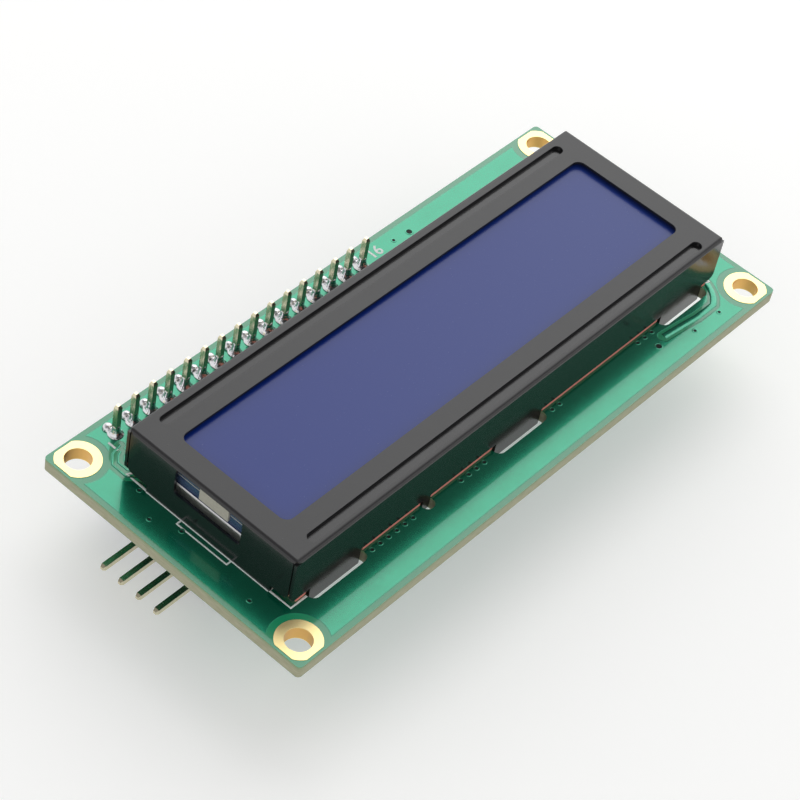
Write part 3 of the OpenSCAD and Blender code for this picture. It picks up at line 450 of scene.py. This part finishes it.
finish_of_slot = {
    "board_mask": "green_solder_mask", "gold_plating": "gold_plate", "bezel_paint": "black_enamel",
    "polarizer_film": "polarizer_blue", "display_glass": "cell_glass", "cell_epoxy": "cell_seal_epoxy",
    "contact_rubber": "contact_rubber", "backlight_white": "white_moulding", "guide_acrylic": "clear_guide",
    "film_white": "white_film", "lamp_laminate": "lamp_laminate", "lamp_package": "lamp_gel",
    "tinned_metal": "solder", "potting": "potting_black", "resistor_black": "resistor_glaze",
    "ceramic_tan": "ceramic_tan", "pin_metal": "pin_plating", "header_plastic": "header_nylon",
    "adapter_mask": "blue_solder_mask", "chip_epoxy": "chip_epoxy", "trimmer_blue": "trimmer_blue",
    "rotor_white": "rotor_white", "lamp_red": "lamp_red",
}


def dress_nodes():
    """Each CAD node gets the finish of its slot in the record."""
    for part in frame["record"]["subparts"]:
        data = frame["nodes"][part["node"]].data
        data.materials.clear()
        data.materials.append(Finish.made[finish_of_slot[part["material_slot"]]])


# ---- Modelling helpers ----

def add(primitive, **settings):
    """Adds a primitive with nothing else selected, and returns its object."""
    bpy.ops.object.select_all(action="DESELECT")
    primitive(**settings)
    return bpy.context.active_object


def edit(on=True):
    bpy.ops.object.mode_set(mode="EDIT" if on else "OBJECT")


def pick(*objects):
    bpy.ops.object.select_all(action="DESELECT")
    for o in objects:
        o.select_set(True)
    bpy.context.view_layer.objects.active = objects[0]


def bake_place(o):
    pick(o)
    bpy.ops.object.transform_apply(location=True, rotation=True, scale=True)


def join(pieces):
    pick(*pieces)
    bpy.ops.object.join()
    return bpy.context.active_object


def copy_to(source, x, y, z, turn=0.0, size=(1, 1, 1)):
    """A copy with its own mesh, its origin's point moved to a place."""
    pick(source)
    bpy.ops.object.duplicate(linked=False)
    o = bpy.context.active_object
    o.location = Vector((x, y, z)) * MM
    o.rotation_euler = (0, 0, turn)
    o.scale = size
    bake_place(o)
    return o


def settle(o, name, finish, body="module"):
    """Names a finished piece, gives it its finish and slot, and lets it ride on its body."""
    bake_place(o)
    o.name = name
    o.data.name = name
    o.data.materials.clear()
    o.data.materials.append(Finish.made[finish])
    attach(o, body)
    return o


def drop(o):
    bpy.data.objects.remove(o)


def vertex_path(points):
    """A chain of edges: one vertex, extruded from point to point."""
    places = [Vector(p) for p in points]
    o = add(bpy.ops.mesh.primitive_plane_add, size=MM, location=places[0] * MM)
    edit()
    bpy.ops.mesh.merge(type="CENTER")
    for here, there in zip(places, places[1:]):
        step = (there - here) * MM
        bpy.ops.mesh.extrude_vertices_move(TRANSFORM_OT_translate={"value": step})
    edit(False)
    return o


def strip(points, width, height, z):
    """A raised line: a chain of edges given a round section, then pressed flat onto its surface."""
    o = vertex_path([(x, y, z) for x, y in points])
    bpy.ops.object.convert(target="CURVE")
    o = bpy.context.active_object
    o.data.dimensions = "3D"
    o.data.twist_mode = "Z_UP"
    o.data.bevel_depth = width / 2 * MM
    o.data.bevel_resolution = 2
    o.data.use_fill_caps = True
    bpy.ops.object.convert(target="MESH")
    edit()
    bpy.ops.mesh.select_all(action="SELECT")
    bpy.ops.transform.resize(value=(1, 1, height / width * 2), center_override=(0, 0, z * MM))
    edit(False)
    return bpy.context.active_object


def spun(profile):
    """A turned shape on the Z axis: a chain of edges in (radius, height), spun and closed."""
    o = vertex_path([(r, 0, h) for r, h in profile])
    edit()
    bpy.ops.mesh.select_all(action="SELECT")
    bpy.ops.mesh.spin(steps=32, angle=math.tau, center=(0, 0, 0), axis=(0, 0, 1))
    bpy.ops.mesh.select_all(action="SELECT")
    bpy.ops.mesh.remove_doubles(threshold=1e-7)
    bpy.ops.mesh.normals_make_consistent(inside=False)
    edit(False)
    return o


def smooth(o, degrees=40):
    pick(o)
    bpy.ops.object.shade_smooth_by_angle(angle=math.radians(degrees))


# ---- Solder ----

def solder_joint():
    """A joint on the pin row: a concave cone up the pin, with a second bead over the tail of its pad."""
    foot, height, tail = 0.95, 1.45, 1.2
    flank = [(foot, 0.06), (0.72, 0.28), (0.56, 0.6), (0.46, 1.0), (0.41, height)]
    cone = spun([(0, 0), (foot, 0), *flank, (0, height)])
    bead = add(bpy.ops.mesh.primitive_uv_sphere_add, segments=24, ring_count=12, radius=MM)
    bead.scale = (0.66, 0.62, 0.62)
    bead.location = (0, tail * MM, 0)
    bake_place(bead)
    neck = add(bpy.ops.mesh.primitive_uv_sphere_add, segments=24, ring_count=12, radius=MM)
    neck.scale = (0.6, 0.8, 0.36)
    neck.location = (0, tail * 0.5 * MM, 0)
    bake_place(neck)
    o = join([cone, bead, neck])
    remesh = o.modifiers.new("remesh", "REMESH")
    remesh.mode = "VOXEL"
    remesh.voxel_size = 0.06 * MM
    bpy.ops.object.modifier_apply(modifier="remesh")
    soften = o.modifiers.new("soften", "SMOOTH")
    soften.iterations = 6
    bpy.ops.object.modifier_apply(modifier="soften")
    edit()
    bpy.ops.mesh.select_all(action="SELECT")
    bpy.ops.mesh.bisect(plane_co=(0, 0, 0), plane_no=(0, 0, 1), clear_inner=True, use_fill=True)
    edit(False)
    bpy.ops.object.shade_smooth()
    return o


def front_solder():
    """Sixteen joints, each a little different in height and in the bead behind the pin."""
    model = solder_joint()
    joints = []
    for x in pin_places:
        grow = chance.uniform(0.88, 1.08)
        tall = chance.uniform(0.85, 1.15)
        joints.append(copy_to(model, x, row_y, board_top, chance.uniform(-0.12, 0.12), (grow, grow, tall)))
    drop(model)
    return joints


# ---- Vias, tracks and print ----

print_h = 0.03
track_h = 0.045
corner_track_w = 0.28


def via_model(ring):
    """A small plated hole: a raised ring under the mask, and a flat near-black disc inside it that is
    painted shade for the hole.
    """
    thick, lift = 0.09, 0.05
    rim = add(bpy.ops.mesh.primitive_torus_add, major_segments=24, minor_segments=8,
              major_radius=ring * MM, minor_radius=thick * MM)
    rim.scale = (1, 1, lift / thick)
    bake_place(rim)
    # Painted shade: a thin near-black disc stands in for the shade down the via's hole.
    painted_hole_shade = add(bpy.ops.mesh.primitive_cylinder_add, vertices=20, depth=0.03 * MM,
               radius=(ring - thick * 0.6) * MM)
    bake_place(painted_hole_shade)
    return rim, painted_hole_shade


def vias(places, name, ring):
    rim, painted_hole_shade = via_model(ring)
    rims = [copy_to(rim, x, y, board_top) for x, y in places]
    painted_hole_shades = [copy_to(painted_hole_shade, x, y, board_top) for x, y in places]
    drop(rim)
    drop(painted_hole_shade)
    rims = join(rims)
    smooth(rims)
    settle(rims, f"{name}_rings", "green_mask_over_track")
    settle(join(painted_hole_shades), f"{name}_wells", "via_hole_painted_shade")


def lines(paths, height, name, finish):
    """Raised lines on the front of the board, each given as its width and its points."""
    o = join([strip(points, width, height, board_top) for width, points in paths])
    smooth(o)
    settle(o, name, finish)


def front_marks():
    """The printed outline at the bezel: a thick stretch with a tick at each end, two corners and a box."""
    line_x = bezel_low.x + 0.1
    back_end = (line_x, 7.83)
    front_end = (line_x, -9.3)
    corner_y = bezel_low.y - 0.08
    box_x = bezel_low.x - 0.7
    far_x, far_y = bezel_high.x - 0.2, -12.05
    tick = 0.7
    thin, thick = 0.26, 0.46
    lines([
        (thin + 0.06, [(line_x + 0.55, 10.55), (line_x + 0.04, 10.8), back_end]),
        (thick, [back_end, front_end]),
        (thin, [front_end, (line_x, corner_y), (-32.9, corner_y)]),
        (thin, [back_end, (line_x + tick, back_end[1])]),
        (thin, [front_end, (line_x + tick, front_end[1])]),
        (thin, [(line_x, 2.8), (box_x, 2.8), (box_x, -4.2), (line_x, -4.2)]),
        (thin, [(far_x - 0.6, far_y), (far_x, far_y), (far_x, -10.9)]),
    ], print_h, "printed_outline", "printed_white")


def number(text, x, y, height, name):
    """A printed number, cut from a font outline and made a mesh before it is placed."""
    figure_share = 0.7
    o = add(bpy.ops.object.text_add)
    o.data.body = text
    o.data.size = height / figure_share * MM
    o.data.align_x = "CENTER"
    o.data.align_y = "CENTER"
    o.data.extrude = print_h / 2 * MM
    o.data.offset = 0.035 * MM
    o.data.resolution_u = 6
    bpy.ops.object.convert(target="MESH")
    o = bpy.context.active_object
    o.location = (x * MM, y * MM, board_top * MM)
    settle(o, name, "printed_white")


dress_nodes()

row = join(front_solder())
settle(row, "front_solder", "solder")
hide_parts("front_joints")

front_via_row = [-23.55 + 1.27 * k for k in (*range(6), *range(11, 15), 23, 24, 35, 36, 37)]
front_vias = [(x, -12.65) for x in front_via_row]
front_vias += [
    (27.44, -15.8), (31.98, -15.86), (-37.65, 5.05), (-37.58, -8.88), (-35.7, 8.45), (-36.3, 1.8),
    (11.87, 15.92),
]
vias(front_vias, "front_via", 0.26)
vias([(22.3, -14.56), (14.3, 15.7)], "lamp_via", 0.42)
lines([(corner_track_w, path) for path in corner_tracks], track_h, "corner_tracks", "green_mask_over_track")
lines([(lamp_track_w, lamp_track)], track_h, "lamp_track", "green_mask_over_track")
front_marks()
number("1", -33.6, 14.35, 1.35, "printed_number_first")
number("16", 8.8, 16.0, 1.4, "printed_number_last")


# ---- Studio ----

def floor():
    """A level pale floor under the lowest point of the module."""
    o = add(bpy.ops.mesh.primitive_plane_add, size=6, location=(0, 0, cad_box[0].z))
    edit()
    bpy.ops.mesh.subdivide(number_cuts=3)
    edit(False)
    bake_place(o)
    o.name = "floor"
    f = Finish("floor_paper", Base_Color=(0.8, 0.8, 0.79), Roughness=0.8)
    rays = f.node("ShaderNodeLightPath", output="Is Camera Ray")
    rays = rays + f.node("ShaderNodeLightPath", output="Is Glossy Ray")
    rays = rays + f.node("ShaderNodeLightPath", output="Is Transmission Ray")
    f.set("Emission Color", (1.0, 1.0, 1.0))
    f.set("Emission Strength", rays.least(1) * 0.28)
    o.data.materials.append(f.material)


def outward(azimuth, elevation):
    """The way from the module to a place, in degrees round from the front and up from level."""
    a, e = math.radians(azimuth), math.radians(elevation)
    return Vector((math.sin(a) * math.cos(e), -math.cos(a) * math.cos(e), math.sin(e)))


def world():
    """White low down and darker overhead, as in a light tent; plain white where the camera looks."""
    w = bpy.data.worlds.new("studio")
    bpy.context.scene.world = w
    w.use_nodes = True
    f = Nodes(w.node_tree)
    direction = f.node("ShaderNodeTexCoord", output="Generated")
    up = f.node("ShaderNodeSeparateXYZ", {}, [direction], output=2)
    dim_from, dim_to, dimming = math.sin(math.radians(28)), math.sin(math.radians(62)), 0.72
    level = 1.0 - up.step(dim_from, dim_to) * dimming
    camera = f.node("ShaderNodeLightPath", output="Is Camera Ray")
    level = level * (1 - camera) + camera
    background = f.node("ShaderNodeBackground", {}, {"Color": (1, 1, 1, 1), "Strength": level})
    output = f.tree.nodes.new("ShaderNodeOutputWorld")
    f.tree.links.new(background.socket, output.inputs["Surface"])


def softbox(name, azimuth, elevation, distance, size, radiance):
    """A square area light aimed at the module, given as the brightness of its face."""
    away = outward(azimuth, elevation)
    lamp = add(bpy.ops.object.light_add, type="AREA", location=away * distance)
    lamp.name = name
    lamp.data.shape = "SQUARE"
    lamp.data.size = size
    lamp.data.energy = radiance * math.pi * size * size
    lamp.rotation_mode = "QUATERNION"
    lamp.rotation_quaternion = away.to_track_quat("Z", "Y")


def camera():
    """Looks down across the bus pins and the window, turned a little about its line of sight."""
    forward = -outward(-57.34, 46.53)
    roll = math.radians(12.22)
    level_right = forward.cross(Vector((0, 0, 1))).normalized()
    level_up = level_right.cross(forward)
    right = level_right * math.cos(roll) + level_up * math.sin(roll)
    up = level_up * math.cos(roll) - level_right * math.sin(roll)
    cam = add(bpy.ops.object.camera_add)
    cam.name = "camera"
    cam.data.lens = 118.93
    cam.data.sensor_width = 36
    cam.data.clip_start = 0.01
    cam.data.clip_end = 20
    turn = Matrix((right, up, -forward)).transposed().to_4x4()
    cam.matrix_world = Matrix.Translation(Vector((-169.18, -105.5, 204.53)) * MM) @ turn
    bpy.context.scene.camera = cam


floor()
world()
softbox("softbox_beyond", 122.7, 46.5, 0.6, 0.56, 1.6)
camera()
bpy.context.scene.view_settings.view_transform = "Standard"
